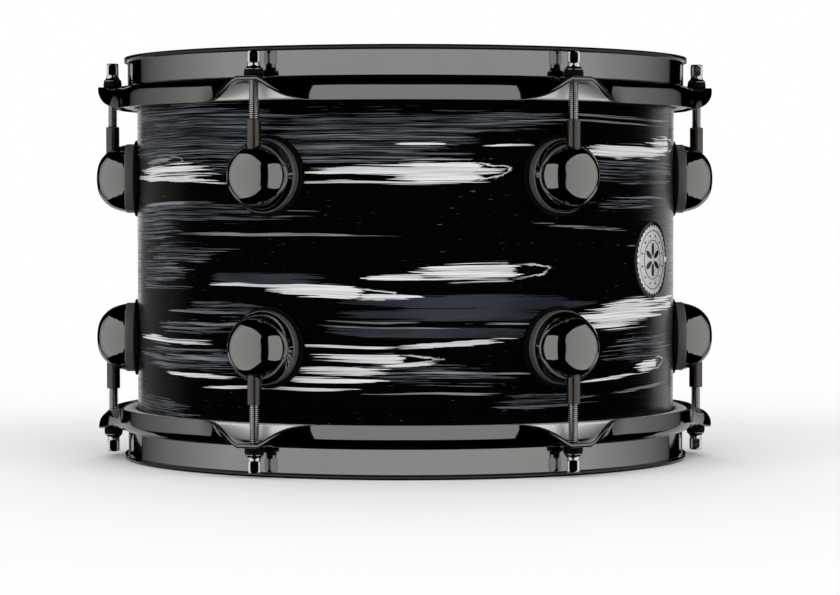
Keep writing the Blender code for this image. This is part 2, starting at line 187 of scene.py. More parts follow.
def cut(obj, cutters):
    """Cuts bmesh cutters out of an object, once, and applies the result."""
    joined = bmesh.new()
    for bm in cutters:
        mesh = bpy.data.meshes.new("cutter")
        bm.to_mesh(mesh)
        bm.free()
        joined.from_mesh(mesh)
        bpy.data.meshes.remove(mesh)
    tool = new_mesh_object("cutter", joined, obj.data.materials[0])
    modifier = obj.modifiers.new("cut", "BOOLEAN")
    modifier.object = tool
    bpy.context.view_layer.update()
    mesh = bpy.data.meshes.new_from_object(obj.evaluated_get(bpy.context.evaluated_depsgraph_get()))
    obj.modifiers.clear()
    obj.data = mesh
    bpy.data.objects.remove(tool)
    return obj


def radial_turn(angle):
    """The matrix that lays +Z out along a radius of the drum."""
    return Matrix.Rotation(angle, 4, "Z") @ Matrix.Rotation(math.pi / 2, 4, "Y")


def place(obj, side, angle=0.0, radius=0.0, height=0.0):
    """Puts a piece at an angle round the drum and a height from its middle, turned over below it."""
    world = Matrix.Translation((radius * math.cos(angle), radius * math.sin(angle), MIDDLE + side * height))
    world @= Matrix.Rotation(angle, 4, "Z")
    if side < 0:
        world @= Matrix.Rotation(math.pi, 4, "X")
    obj.matrix_world = world
    return obj


def copy_of(obj, name):
    twin = bpy.data.objects.new(name, obj.data)
    bpy.context.scene.collection.objects.link(twin)
    return twin


def settle(obj, body, slot, *nodes):
    """Puts a finished piece in the frame: the body it moves with and the CAD nodes it stands for; the slot is not used.
    """
    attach(obj, body)
    if nodes:
        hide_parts(*nodes)


# ---------------------------------------------------------------- material tools
class Nodes:
    """A short way to write a material's node tree."""

    def __init__(self, tree):
        self.tree = tree

    def add(self, kind, **values):
        node = self.tree.nodes.new(kind)
        for key, value in values.items():
            setattr(node, key, value)
        return node

    def wire(self, value, socket):
        """Links an output socket, or sets a number or colour."""
        if hasattr(value, "is_output"):
            self.tree.links.new(value, socket)
        else:
            socket.default_value = value

    def math(self, operation, *values):
        node = self.add("ShaderNodeMath", operation=operation)
        for value, socket in zip(values, node.inputs):
            self.wire(value, socket)
        return node.outputs[0]

    def noise(self, vector, scale, detail=3.0, rough=0.5, distortion=0.0):
        node = self.add("ShaderNodeTexNoise")
        self.wire(vector, node.inputs["Vector"])
        node.inputs["Scale"].default_value = scale
        node.inputs["Detail"].default_value = detail
        node.inputs["Roughness"].default_value = rough
        node.inputs["Distortion"].default_value = distortion
        return node.outputs["Fac"]

    def range(self, value, low, high, to_low=0.0, to_high=1.0, smooth=True):
        # an eased range stays between its ends by itself; clamping it as well would cost shader memory
        node = self.add("ShaderNodeMapRange", interpolation_type="SMOOTHSTEP" if smooth else "LINEAR", clamp=not smooth)
        for item, socket in zip((value, low, high, to_low, to_high), node.inputs):
            self.wire(item, socket)
        return node.outputs[0]

    def mix(self, share, one, other):
        node = self.add("ShaderNodeMix", data_type="RGBA")
        self.wire(share, node.inputs[0])
        self.wire(one, node.inputs[6])
        self.wire(other, node.inputs[7])
        return node.outputs[2]

    def scaled(self, vector, scale, offset=(0, 0, 0)):
        node = self.add("ShaderNodeMapping")
        self.wire(vector, node.inputs["Vector"])
        node.inputs["Scale"].default_value = scale
        node.inputs["Location"].default_value = offset
        return node.outputs[0]

    def bump(self, height, strength, distance):
        node = self.add("ShaderNodeBump")
        self.wire(height, node.inputs["Height"])
        node.inputs["Strength"].default_value = strength
        node.inputs["Distance"].default_value = distance
        return node.outputs[0]


def new_material(name, colour, roughness, metallic=0.0):
    """A Principled material, with its tree's helper and its shader."""
    material = bpy.data.materials.new(name)
    material.use_nodes = True
    shader = material.node_tree.nodes["Principled BSDF"]
    shader.inputs["Base Color"].default_value = (*colour, 1.0)
    shader.inputs["Roughness"].default_value = roughness
    shader.inputs["Metallic"].default_value = metallic
    return material, Nodes(material.node_tree), shader


def object_coordinates(n):
    return n.add("ShaderNodeTexCoord").outputs["Object"]


def round_coordinates(n):
    """A turned piece's own radius and height, to tint it by place."""
    split = n.add("ShaderNodeSeparateXYZ")
    n.wire(object_coordinates(n), split.inputs[0])
    x, y, z = split.outputs
    return n.math("POWER", n.math("MULTIPLY_ADD", x, x, n.math("POWER", y, 2.0)), 0.5), z


def reopened(material):
    """A finished material's helper and shader, and the socket that colours it now."""
    shader = material.node_tree.nodes["Principled BSDF"]
    return Nodes(material.node_tree), shader, shader.inputs["Base Color"].links[0].from_socket


def plated_material(name, colour, roughness, haze=0.05):
    """Polished plating: faint haze, wiping marks and a very slight waviness under the mirror."""
    material, n, shader = new_material(name, colour, roughness, 1.0)
    spot = object_coordinates(n)
    marks = n.noise(n.scaled(spot, (1, 1, 6)), 60, 5, 0.65)
    n.wire(n.range(marks, 0.35, 0.8, roughness, roughness + haze), shader.inputs["Roughness"])
    tone = n.noise(spot, 25, 3)
    n.wire(n.mix(tone, (*[c * 0.95 for c in colour], 1), (*[min(c * 1.06, 1) for c in colour], 1)),
           shader.inputs["Base Color"])
    n.wire(n.bump(n.noise(spot, 35, 2), 0.02, 0.001), shader.inputs["Normal"])
    return material


def hoop_material():
    """The hoops' plating, with painted shade: a shade darker on the skirt outside the rods' circle and darker still on
    the lip.
    """
    material = plated_material("hoop_black_nickel", (0.280, 0.278, 0.270), 0.05)
    n, shader, plating = reopened(material)
    radius, height = round_coordinates(n)
    # painted shade: the skirt outside the rods' circle is darkened and the lip made near black, so their mirror
    # highlights come out dimmer than the wall's
    skirt_shade = n.range(radius, SHELL_R + 0.0085, SHELL_R + 0.0105)
    lip_shade = n.range(height, RIM_TOP - 0.0026, RIM_TOP - 0.0020)
    skirt_shaded = n.mix(skirt_shade, plating, (0.215, 0.212, 0.206, 1))
    n.wire(n.mix(lip_shade, skirt_shaded, (0.045, 0.045, 0.047, 1)), shader.inputs["Base Color"])
    return material


# ---------------------------------------------------------------- finish: brush strokes on black
def stroke_group():
    """One brush stroke as a mask: solid at its heart, breaking up along the bristles towards its ends."""
    tree = bpy.data.node_groups.new("brush_stroke", "ShaderNodeTree")
    face = tree.interface
    for name in ("Along", "Up", "Fibre", "Edge", "Threads", "Centre", "Height", "Half length", "Half width", "Slope",
                 "Cover", "Rim"):
        face.new_socket(name, in_out="INPUT", socket_type="NodeSocketFloat")
    face.new_socket("Mask", in_out="OUTPUT", socket_type="NodeSocketFloat")
    n = Nodes(tree)
    given = n.add("NodeGroupInput").outputs
    out = n.add("NodeGroupOutput")
    along = n.math("SUBTRACT", given["Along"], given["Centre"])
    lift = n.math("MULTIPLY_ADD", along, given["Slope"], given["Height"])
    across = n.math("ABSOLUTE", n.math("DIVIDE", n.math("SUBTRACT", given["Up"], lift), given["Half width"]))
    share = n.math("DIVIDE", along, given["Half length"])
    # the paint thins from 0.3 of the way out, and fast in the last tenth
    ends = n.math("MAXIMUM", n.math("MULTIPLY_ADD", n.math("ABSOLUTE", share), 0.743, -0.223), 0.0)
    ends = n.math("MULTIPLY_ADD", n.math("POWER", n.math("ABSOLUTE", share), 12.0), 0.6, ends)
    sides = n.range(across, 0.45, 1.05, 0.0, 0.42)
    hollow = n.math("MULTIPLY", n.math("MULTIPLY", given["Rim"], 0.75), n.range(share, 0.30, 0.72))
    level = n.math("ADD", n.math("SUBTRACT", 0.98, given["Cover"]), n.math("ADD", ends, sides))
    level = n.math("ADD", level, hollow)
    paint = n.range(given["Fibre"], level, n.math("ADD", level, 0.07))
    inside = n.math("LESS_THAN", n.math("ABSOLUTE", share), 1.0)
    body = n.math("MULTIPLY", n.math("MULTIPLY", paint, inside), n.range(across, 1.0, 1.25, 1.0, 0.0))
    reach = n.math("POWER", n.math("MULTIPLY_ADD", share, share, n.math("POWER", across, 2.0)), 0.5)
    fall = n.math("ADD", n.math("POWER", n.math("DIVIDE", share, given["Half length"]), 2.0),
                  n.math("POWER", n.math("DIVIDE", across, given["Half width"]), 2.0))
    ring = n.math("ABSOLUTE", n.math("SUBTRACT", n.math("MULTIPLY_ADD", given["Edge"], 0.7, reach), 0.88))
    ring = n.math("DIVIDE", ring, n.math("POWER", n.math("ADD", fall, 0.0004), 0.5))
    rim = n.math("MULTIPLY", n.range(ring, 0.22, 0.70, 1.0, 0.0), n.range(share, 0.35, 0.6))
    rim = n.math("MULTIPLY", n.math("MULTIPLY", rim, given["Threads"]), given["Rim"])
    n.wire(n.math("MAXIMUM", body, rim), out.inputs["Mask"])
    return tree


# Strokes one by one: angle from the front towards +X in degrees, height from the middle in mm, half length in degrees,
# half width in mm, slope in mm per degree, cover, and how far its end is outlined. The back follows from a seed.
WHITE_STROKES = (
    (-3, 47.5, 25, 2.6, 0.0, 0.86, 0),
    (6, 47, 15, 5.6, 0.0, 0.84, 0.9),
    (-6, 41.5, 25, 1.0, 0.0, 0.78, 0),
    (-60, 47, 24, 5.5, -0.05, 0.62, 0),
    (-60, 43, 23, 1.4, -0.13, 0.84, 0),
    (53, 58, 20, 3.6, 0.06, 0.88, 0),
    (66, 62, 12, 4.6, 0.10, 0.70, 0.7),
    (-18, -15.5, 16, 3.4, -0.08, 0.84, 0.9),
    (-33, -13, 15, 0.9, -0.08, 0.86, 0),
    (-5, -17.5, 8, 1.6, -0.02, 0.80, 0),
    (13, -4.8, 17, 4.6, 0.04, 0.82, 0.9),
    (-3, -7.4, 9, 1.8, 0.06, 0.78, 0),
    (-9, -50, 15, 2.8, -0.02, 0.80, 0.8),
    (-15, -56.5, 13, 2.6, 0.0, 0.74, 0),
    (-1, -53, 7, 1.2, 0.1, 0.76, 0),
    (50, -29, 19, 7.2, 0.12, 0.80, 0),
    (66, -25, 16, 5.5, 0.20, 0.58, 0),
    (59, -57.5, 9, 4.0, 0.30, 0.62, 0.6),
    (-60, -42.5, 22, 1.8, -0.03, 0.72, 0),
    (-48, -60.5, 16, 1.2, -0.10, 0.78, 0),
    (-18, -61.5, 18, 2.0, -0.02, 0.60, 0),
    (-27, -66.3, 23, 1.1, 0.0, 0.76, 0),
    (8, -42, 16, 1.7, 0.18, 0.74, 0),
    (-13, -43.8, 14, 1.0, 0.0, 0.76, 0),
    (45, -62, 12, 0.9, 0.16, 0.78, 0),
    (20, 60.2, 8, 0.6, 0.0, 0.74, 0),
    (1, 61.2, 6, 0.8, 0.0, 0.74, 0),
)
PALE_STROKES = (
    (38, 17.5, 19, 1.2, -0.14, 0.66, 0),
    (50, 75.8, 32, 0.8, 0.0, 0.66, 0),
    (46, 73, 34, 0.7, 0.0, 0.64, 0),
    (-30, 13.8, 36, 1.0, 0.0, 0.72, 0),
    (-8, -31, 18, 0.6, 0.0, 0.70, 0),
    (-6, -33.6, 19, 0.6, 0.0, 0.68, 0),
    (22, -31.5, 16, 0.7, 0.02, 0.64, 0),
    (56, -69, 20, 1.2, 0.12, 0.62, 0),
    (-64, 53, 12, 2.4, 0.0, 0.58, 0.8),
    (60, 7, 14, 0.8, 0.0, 0.60, 0),
    (-62, 30, 24, 1.2, 0.0, 0.60, 0),
    (4, -68, 24, 1.0, 0.0, 0.56, 0),
    (-46, -27, 18, 0.9, -0.04, 0.66, 0),
    (-40, -33, 22, 1.3, 0.0, 0.56, 0),
    (-50, -51, 20, 1.4, -0.06, 0.60, 0),
    (14, -57, 22, 0.9, 0.0, 0.60, 0),
)
GREY_STROKES = (
    (-52, 66, 40, 17, -0.02, 0.72, 0),
    # these two front strokes reach no higher than about 79 mm, leaving plain black lacquer under the batter hoop as a
    # painted shadow
    (-12, 64, 28, 15, 0.0, 0.70, 0),
    (12, 73, 24, 5.5, 0.0, 0.68, 0),
    (4, 66, 12, 8, 0.0, 0.64, 0),
    (-48, 25, 40, 6, 0.0, 0.58, 0),
    (-68, 19, 18, 9, 0.0, 0.66, 0),
    (-55, 4, 22, 7, 0.0, 0.50, 0),
    (-42, -25, 14, 4.5, -0.05, 0.66, 0),
    (-50, -35, 20, 5, 0.0, 0.54, 0),
    (-55, -52, 27, 9, -0.05, 0.56, 0),
    (27, -72, 18, 5, 0.0, 0.52, 0),
    (58, -47, 22, 8, 0.10, 0.56, 0),
    (6, -58, 28, 7, 0.0, 0.50, 0),
    (-64, -8, 18, 10, -0.06, 0.52, 0),
    (57, 47, 22, 7.5, 0.0, 0.74, 0),
    (52, 30, 22, 5, 0.08, 0.46, 0),
    (-66, -80, 22, 8, -0.08, 0.52, 0),
)
SLATE_STROKES = (
    (9, -19.8, 26, 3.0, 0.0, 0.98, 0),
    (10, -26.8, 26, 2.8, 0.0, 1.00, 0),
    (5, -36.2, 24, 2.4, 0.0, 0.96, 0),
    (-31, -9.4, 15, 2.8, -0.06, 0.96, 0),
    (26, -22.5, 16, 1.6, 0.05, 0.90, 0),
)
BACK_SEED = 12


def back_strokes(count, seed, half_width, cover, rim):
    """Strokes round the back, between 90 and 270 degrees, spread evenly up the shell."""
    rng = random.Random(seed)
    strokes = []
    for number in range(count):
        height = -86 + 172 * (number * 0.618 % 1.0)
        strokes.append((
            rng.uniform(100, 260), height, rng.uniform(14, 30), rng.uniform(*half_width), rng.uniform(-0.06, 0.06),
            rng.uniform(*cover), rim * rng.uniform(0, 1),
        ))
    return strokes


def bristle_group():
    """The fields the strokes are made of: place along and up the wrap in mm, and the bristles' marks."""
    tree = bpy.data.node_groups.new("bristles", "ShaderNodeTree")
    n = Nodes(tree)
    out = n.add("NodeGroupOutput")
    uv = n.add("ShaderNodeUVMap", uv_map="wrap").outputs[0]
    split = n.add("ShaderNodeSeparateXYZ")
    n.wire(uv, split.inputs[0])
    along, up = split.outputs[0], split.outputs[1]

    def bristles(scale, offset, detail=1.0):
        return n.noise(n.scaled(uv, (*scale, 1), (*offset, 0)), 1.0, detail, 0.6)

    wide, fine, hair = bristles((0.012, 0.40), (0, 0)), bristles((0.016, 1.3), (9, 4)), bristles((0.03, 2.6), (3, 8))
    fibre = n.math("MULTIPLY_ADD", fine, 0.9, n.math("MULTIPLY_ADD", wide, 0.6, n.math("MULTIPLY", hair, 0.6)))
    fibre = n.math("MULTIPLY_ADD", fibre, 1.1, -0.655)
    long_, short = bristles((0.009, 0.95), (19, 7)), bristles((0.034, 2.2), (23, 11), 3.0)
    streak = n.math("MULTIPLY_ADD", short, 1.1, n.math("MULTIPLY", long_, 0.9))
    fields = {
        "Along": along,
        "Up": up,
        "Fibre": fibre,
        "Streak": n.math("MULTIPLY_ADD", streak, 1.4, -0.90),
        "Edge": n.math("MULTIPLY_ADD", n.noise(n.scaled(uv, (0.09, 0.28, 1), (31, 5, 0)), 1.0, 4, 0.6), 0.9, -0.45),
        "Threads": n.range(fibre, 0.22, 0.45),
        "Tone": n.noise(n.scaled(uv, (0.02, 0.10, 1), (2, 17, 0)), 1.0, 2, 0.5),
        "Speck": n.noise(n.scaled(uv, (0.12, 1.2, 1), (5, 41, 0)), 1.0, 3, 0.65),
        "Swell": n.noise(n.scaled(uv, (0.03, 0.12, 1)), 1.0, 2),
    }
    for name, value in fields.items():
        tree.interface.new_socket(name, in_out="OUTPUT", socket_type="NodeSocketFloat")
        n.wire(value, out.inputs[name])
    return tree


def finish_material():
    """Black lacquer with level brush strokes, laid out along the wrap by its UV map, in millimetres."""
    material, n, shader = new_material("streaked_wrap", (0, 0, 0), 0.25)
    field = n.add("ShaderNodeGroup", node_tree=bristle_group()).outputs
    group = stroke_group()

    def strokes(table, brush):
        total = 0.0
        arc = math.radians(1) * SHELL_R / MM
        for degrees, height, length, width, slope, cover, rim in table:
            node = n.add("ShaderNodeGroup", node_tree=group)
            for key, value in (("Along", "Along"), ("Up", "Up"), ("Fibre", brush), ("Edge", "Edge"),
                               ("Threads", "Threads")):
                n.wire(field[value], node.inputs[key])
            numbers = {"Centre": degrees * arc, "Height": height, "Half length": length * arc,
                       "Half width": width, "Slope": slope / arc, "Cover": cover, "Rim": rim}
            for key, value in numbers.items():
                node.inputs[key].default_value = value
            total = n.math("MAXIMUM", total, node.outputs[0])
        return total

    white = strokes([*WHITE_STROKES, *back_strokes(16, BACK_SEED, (1.0, 6.0), (0.66, 0.86), 0.9)], "Fibre")
    pale = strokes([*PALE_STROKES, *back_strokes(6, BACK_SEED + 1, (0.6, 1.6), (0.6, 0.72), 0)], "Fibre")
    grey = strokes([*GREY_STROKES, *back_strokes(12, BACK_SEED + 2, (4, 14), (0.52, 0.76), 0)], "Streak")
    flat = strokes([*SLATE_STROKES, *back_strokes(3, BACK_SEED + 3, (2, 4), (0.92, 1.0), 0)], "Streak")
    tone, fibre = field["Tone"], field["Fibre"]
    specks = n.math("MULTIPLY", n.range(field["Speck"], 0.66, 0.76), n.range(tone, 0.40, 0.6))
    black = (0.0010, 0.0010, 0.0011, 1)
    slate = n.mix(n.range(field["Streak"], 0.38, 0.88), (0.010, 0.012, 0.015, 1), (0.165, 0.182, 0.208, 1))
    ground = n.mix(n.math("MULTIPLY", specks, 0.5), black, (0.30, 0.31, 0.33, 1))
    washed = n.mix(n.math("MULTIPLY", grey, n.range(tone, 0.25, 0.6, 0.45, 1.0)), ground, slate)
    washed = n.mix(flat, washed, n.mix(n.range(tone, 0.3, 0.7), (0.018, 0.022, 0.030, 1), (0.034, 0.041, 0.053, 1)))
    washed = n.mix(n.math("MULTIPLY", pale, n.range(tone, 0.3, 0.6, 0.35, 0.85)), washed, (0.26, 0.27, 0.29, 1))
    paint = n.mix(n.range(fibre, 0.35, 0.75), (0.50, 0.51, 0.53, 1), (0.80, 0.80, 0.80, 1))
    n.wire(n.mix(white, washed, paint), shader.inputs["Base Color"])
    n.wire(n.range(fibre, 0.3, 0.8, 0.22, 0.30), shader.inputs["Roughness"])
    shader.inputs["Specular IOR Level"].default_value = 0.045
    n.wire(n.bump(field["Swell"], 0.05, 0.0004), shader.inputs["Normal"])
    return material


# ---------------------------------------------------------------- the other materials
def maple_material():
    """Maple ply: level grain round the shell, pores and a satin coat."""
    material, n, shader = new_material("maple_ply", (0.6, 0.42, 0.25), 0.45)
    spot = object_coordinates(n)
    grain = n.noise(n.scaled(spot, (14, 14, 160)), 1.0, 6, 0.6, 0.6)
    pore = n.noise(n.scaled(spot, (60, 60, 900)), 1.0, 3, 0.6)
    base = n.mix(n.range(grain, 0.3, 0.72), (0.46, 0.29, 0.15, 1), (0.74, 0.56, 0.36, 1))
    n.wire(n.mix(n.range(pore, 0.6, 0.75, 0, 0.35), base, (0.30, 0.17, 0.08, 1)), shader.inputs["Base Color"])
    n.wire(n.bump(pore, 0.15, 0.0003), shader.inputs["Normal"])
    shader.inputs["Coat Weight"].default_value = 0.3
    shader.inputs["Coat Roughness"].default_value = 0.25
    return material


def collar_material():
    """The lugs' collars: the same plating left satin, so it takes the soft light as well as the mirrors'."""
    material, n, shader = new_material("satin_black_nickel", (0.13, 0.127, 0.12), 0.4, 0.5)
    marks = n.noise(n.scaled(object_coordinates(n), (1, 1, 6)), 60, 5, 0.65)
    n.wire(n.range(marks, 0.3, 0.8, 0.32, 0.48), shader.inputs["Roughness"])
    n.wire(n.mix(marks, (0.12, 0.117, 0.112, 1), (0.145, 0.141, 0.135, 1)), shader.inputs["Base Color"])
    return material


def rod_chrome_material():
    """Chrome, with painted shade darkening the thread's grooves below the washer."""
    material = plated_material("rod_chrome", (0.80, 0.80, 0.81), 0.06, 0.05)
    n, shader, plating = reopened(material)
    radius, height = round_coordinates(n)
    groove = n.range(radius, THREAD_R - THREAD_DEPTH, THREAD_R - 0.3 * THREAD_DEPTH, 1.0, 0.0)
    shaft = n.range(height, WASHER_TOP - 0.0010, WASHER_TOP, 1.0, 0.0)
    # painted shade: the thread's grooves below the washer are darkened so each turn shows a dark hollow
    n.wire(n.mix(n.math("MULTIPLY", groove, shaft), plating, (0.10, 0.095, 0.09, 1)), shader.inputs["Base Color"])
    return material


def aluminium_material():
    """Rolled aluminium channel: satin, with fine marks along the rolling."""
    material, n, shader = new_material("rolled_aluminium", (0.86, 0.85, 0.82), 0.4, 0.5)
    lines = n.noise(n.scaled(object_coordinates(n), (9, 9, 1800)), 1.0, 3, 0.6)
    n.wire(n.range(lines, 0.3, 0.7, 0.36, 0.46), shader.inputs["Roughness"])
    n.wire(n.mix(lines, (0.82, 0.81, 0.78, 1), (0.90, 0.89, 0.86, 1)), shader.inputs["Base Color"])
    n.wire(n.bump(lines, 0.04, 0.0002), shader.inputs["Normal"])
    return material


def rubber_material(name, colour, roughness):
    material, n, shader = new_material(name, colour, roughness)
    grain = n.noise(object_coordinates(n), 900, 3)
    n.wire(n.bump(grain, 0.12, 0.0002), shader.inputs["Normal"])
    n.wire(n.range(grain, 0.3, 0.7, roughness - 0.06, roughness + 0.08), shader.inputs["Roughness"])
    shader.inputs["Specular IOR Level"].default_value = 0.05
    return material


def coated_film_material():
    """White coating sprayed on film: a fine even tooth."""
    material, n, shader = new_material("coated_film", (0.70, 0.70, 0.685), 0.6)
    spot = object_coordinates(n)
    tooth = n.noise(spot, 1100, 4, 0.65)
    cloud = n.noise(spot, 18, 3)
    n.wire(n.mix(cloud, (0.66, 0.66, 0.645, 1), (0.73, 0.73, 0.715, 1)), shader.inputs["Base Color"])
    n.wire(n.range(tooth, 0.3, 0.7, 0.5, 0.75), shader.inputs["Roughness"])
    n.wire(n.bump(tooth, 0.35, 0.0002), shader.inputs["Normal"])
    return material


def clear_film_material():
    material, n, shader = new_material("clear_film", (0.80, 0.82, 0.83), 0.06)
    shader.inputs["Alpha"].default_value = 0.22
    marks = n.noise(object_coordinates(n), 40, 4)
    n.wire(n.range(marks, 0.4, 0.8, 0.04, 0.12), shader.inputs["Roughness"])
    return material


def silver_material(name, dark, light):
    """Brushed silver, as on the badge's plate and, warmer, on its pins."""
    material, n, shader = new_material(name, dark, 0.3, 0.35)
    grain = n.noise(n.scaled(object_coordinates(n), (300, 300, 3000)), 1.0, 3)
    n.wire(n.range(grain, 0.3, 0.7, 0.18, 0.34), shader.inputs["Roughness"])
    n.wire(n.mix(grain, (*dark, 1), (*light, 1)), shader.inputs["Base Color"])
    return material


def enamel_material():
    material, n, shader = new_material("badge_enamel", (0.004, 0.004, 0.005), 0.2)
    flow = n.noise(object_coordinates(n), 400, 2)
    n.wire(n.bump(flow, 0.05, 0.0002), shader.inputs["Normal"])
    n.wire(n.range(flow, 0.3, 0.7, 0.14, 0.26), shader.inputs["Roughness"])
    shader.inputs["Specular IOR Level"].default_value = 0.3
    return material


# ---------------------------------------------------------------- shell and finish
ROUND = 288
PLY_THICKNESS = 0.0054
VENT_HOLE_R = 0.0065


def vent_cutter():
    return cylinder_between(VENT_HOLE_R, SHELL_R - 0.02, SHELL_R + 0.01, 32, radial_turn(VENT_ANGLE))


def brush_wander(angle, height):
    """How far, in mm, the brush strayed from level at an angle from the front and a height in mm."""
    return (
        0.60 * math.sin(4 * angle + 0.9 + 0.020 * height)
        + 0.30 * math.sin(9 * angle + 1.7 - 0.035 * height)
        + 0.12 * math.sin(21 * angle + 0.4 + 0.050 * height)
    )


def wrap_object(material):
    """The finish ply, with a UV map in millimetres: along the wrap from the front, and up from the middle."""
    inner = SHELL_R - 0.0008
    rows = [(SHELL_R, -FINISH_TOP + 2 * FINISH_TOP * n / 24) for n in range(1, 24)]
    outline = filleted([
        (SHELL_R, FINISH_TOP, 0.0002), (inner, FINISH_TOP), (inner, -FINISH_TOP), (SHELL_R, -FINISH_TOP, 0.0002), *rows
    ], steps=2)
    rings = []
    for n in range(ROUND):
        angle = 2 * math.pi * n / ROUND
        rings.append([(p[0] * math.cos(angle), p[0] * math.sin(angle), p[1]) for p in outline])
    obj = new_mesh_object("finish_wrap", skin(rings), material)
    cut(obj, [vent_cutter()])
    layer = obj.data.uv_layers.new(name="wrap")
    for poly in obj.data.polygons:
        middle = math.atan2(poly.center.x, -poly.center.y)
        for loop in poly.loop_indices:
            spot = obj.data.vertices[obj.data.loops[loop].vertex_index].co
            angle = math.atan2(spot.x, -spot.y)
            angle += 2 * math.pi * round((middle - angle) / (2 * math.pi))
            if middle < math.radians(-95):
                angle += 2 * math.pi
            layer.data[loop].uv = (angle * SHELL_R / MM, spot.z / MM + brush_wander(angle, spot.z / MM))
    return obj


def shell_object(material):
    """Maple ply with 45 degree bearing edges cut inside and a small round-over outside."""
    inner, crest = PLY_R - PLY_THICKNESS, PLY_R - 0.0013
    top = [
        (PLY_R, EDGE_TOP - 0.0024, 0.001),
        (crest, EDGE_TOP, 0.0006),
        (inner, EDGE_TOP - (crest - inner), 0.0004),
    ]
    outline = filleted(top + [(r, -z, f) for r, z, f in reversed(top)], steps=3)
    obj = new_mesh_object("maple_shell", lathe(outline, 192), material)
    return cut(obj, [vent_cutter()])


def build_shell(mats):
    wrap = place(wrap_object(mats["finish"]), 1)
    settle(wrap, "drum_shell", "finish", "finish_ply")
    shell = place(shell_object(mats["maple"]), 1)
    settle(shell, "drum_shell", "maple", "shell")
    return wrap


def build_vent(mats):
    """A rolled eyelet through the shell."""
    inside = PLY_R - PLY_THICKNESS - 0.0003
    outline = filleted([
        (VENT_HOLE_R - 0.0003, inside - 0.0002, 0.0002),
        (VENT_HOLE_R - 0.0003, SHELL_R + 0.0003, 0.0002),
        (0.0092, SHELL_R + 0.0003, 0.0002),
        (0.0086, SHELL_R + 0.0012, 0.0005),
        (0.0062, SHELL_R + 0.0016, 0.0007),
        (0.0048, SHELL_R + 0.0004, 0.0012),
        (0.0048, inside - 0.0006, 0.0008),
        (0.0056, inside - 0.0012, 0.0004),
        (0.0084, inside - 0.0010, 0.0003),
        (0.0084, inside - 0.0004, 0.0002),
    ], steps=3)
    eyelet = new_mesh_object("vent_ring", lathe(outline, 48, "X"), mats["black_nickel"])
    place(eyelet, 1, VENT_ANGLE)
    settle(eyelet, "drum_shell", "black_nickel", "vent_eyelet")


# ---------------------------------------------------------------- badge
# the badge's radius, the inside of its rim, where its pins stand too, and its parts' heights over the shell
BADGE_R = 0.02075
BADGE_FACE_R = 0.0176
BADGE_LOW = 0.0003
BADGE_FACE = 0.00096
BADGE_LINE = 0.00115
BADGE_INK = 0.0012


def on_shell(points, lift):
    """Wraps flat points (across, up) round the shell at a lift above it, about the badge's angle."""
    out = []
    for across, up in points:
        angle = across / SHELL_R
        radius = SHELL_R + lift
        out.append((radius * math.cos(angle), radius * math.sin(angle), up))
    return out


def ring_points(radius, steps, wave=0.0, teeth=0, power=1.0):
    """A circle of flat points whose radius can ripple into teeth."""
    points = []
    for n in range(steps):
        angle = 2 * math.pi * n / steps
        ripple = math.cos(teeth * angle) if teeth else 0.0
        ripple = math.copysign(abs(ripple) ** power, ripple)
        r = radius + wave * ripple
        points.append((r * math.cos(angle), r * math.sin(angle)))
    return points


def raised_ring(name, inner, outer, low, high, material, steps=144, **teeth):
    """A flat ring wrapped on the shell, between two lifts; its outer or inner edge may have teeth."""
    edge = 0.00006
    inner_points = ring_points(inner, steps)
    outer_points = ring_points(outer, steps, **teeth)
    shrink = (outer - edge) / outer
    top_outer = [(x * shrink, y * shrink) for x, y in outer_points]
    loops = [
        on_shell(inner_points, low),
        on_shell(outer_points, low),
        on_shell(outer_points, high - edge),
        on_shell(top_outer, high),
        on_shell(inner_points, high),
    ]
    rings = [[loop[n] for loop in loops] for n in range(steps)]
    return new_mesh_object(name, skin(rings), material, sharp=50)


def disc(name, radius, low, high, material, steps=96, rings=8):
    """A closed disc wrapped on the shell, slightly softened at its edge."""
    bm = bmesh.new()
    loops = []
    for share in [n / rings for n in range(1, rings + 1)]:
        loops.append([bm.verts.new(p) for p in on_shell(ring_points(radius * share, steps), high)])
    wall = [bm.verts.new(p) for p in on_shell(ring_points(radius * 1.004, steps), high - 0.0001)]
    foot = [bm.verts.new(p) for p in on_shell(ring_points(radius * 1.004, steps), low)]
    loops += [wall, foot]
    for one, other in zip(loops, loops[1:]):
        for n in range(steps):
            bm.faces.new((one[n - 1], one[n], other[n], other[n - 1]))
    centre = bm.verts.new(on_shell([(0, 0)], high)[0])
    for n in range(steps):
        bm.faces.new((centre, loops[0][n], loops[0][n - 1]))
    low_centre = bm.verts.new(on_shell([(0, 0)], low)[0])
    for n in range(steps):
        bm.faces.new((low_centre, foot[n - 1], foot[n]))
    return new_mesh_object(name, bm, material)


def flat_shape(name, outline, low, high, material):
    """A small flat plate with any outline, wrapped on the shell."""
    bm = bmesh.new()
    top = [bm.verts.new(p) for p in on_shell(outline, high)]
    foot = [bm.verts.new(p) for p in on_shell(outline, low)]
    for n in range(len(outline)):
        bm.faces.new((top[n - 1], top[n], foot[n], foot[n - 1]))
    bm.faces.new(top)
    bm.faces.new(foot[::-1])
    bmesh.ops.triangulate(bm, faces=[f for f in bm.faces if len(f.verts) > 4])
    return new_mesh_object(name, bm, material)


def petal(length, width, turn, inner, steps=14):
    """A pointed leaf along a direction, starting a little way out from the middle."""
    points = []
    for n in range(steps):
        share = n / steps
        along = inner + length * (0.5 - 0.5 * math.cos(2 * math.pi * share))
        across = width * math.sin(2 * math.pi * share) * (1 - 0.25 * math.cos(2 * math.pi * share))
        points.append((along * math.cos(turn) - across * math.sin(turn),
                       along * math.sin(turn) + across * math.cos(turn)))
    return points


